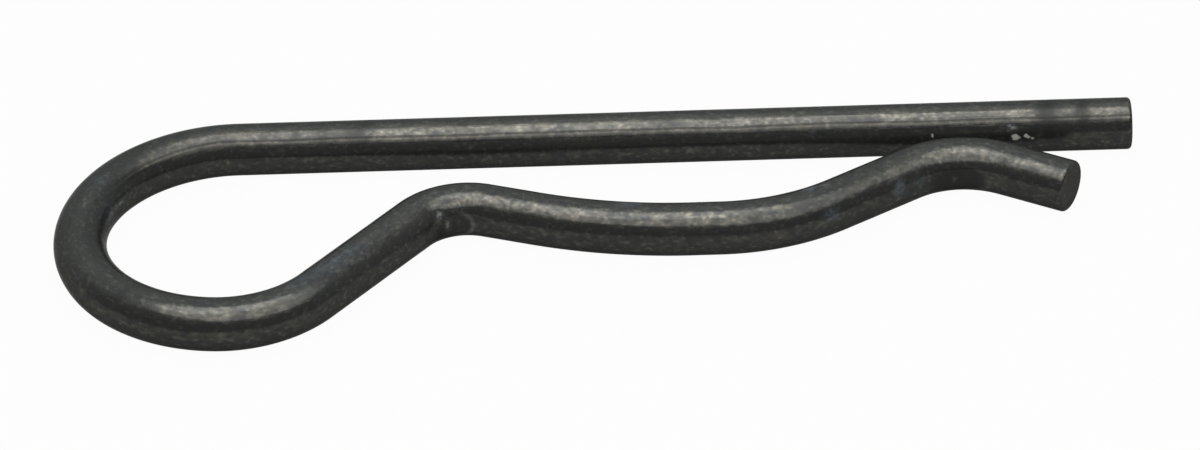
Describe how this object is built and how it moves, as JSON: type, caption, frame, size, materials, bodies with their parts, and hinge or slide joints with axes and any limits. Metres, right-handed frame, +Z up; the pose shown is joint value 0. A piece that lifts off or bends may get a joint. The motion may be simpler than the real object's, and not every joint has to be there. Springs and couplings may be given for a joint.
{
  "type": "spring locking pin",
  "caption": "Bent round-wire spring pin: a straight leg goes through a shaft's cross hole while a wavy leg with a belly clasps the shaft, with a round eye to pull it by.",
  "frame": {"origin": "under the middle of the pin, on the surface that it lies on", "axes": "+X along the straight leg towards its free end, wavy leg on the -Y side, +Z up, out of the plane that the wire is bent in"},
  "size_m": [0.082, 0.0268, 0.004],
  "materials": {
    "spring_wire": "dark oil-tempered spring-steel wire, semi-gloss, with fine drawing lines and rubbed grey streaks"
  },
  "bodies": {
    "root": {"spring_wire": "spring_wire"}
  },
  "joints": []
}
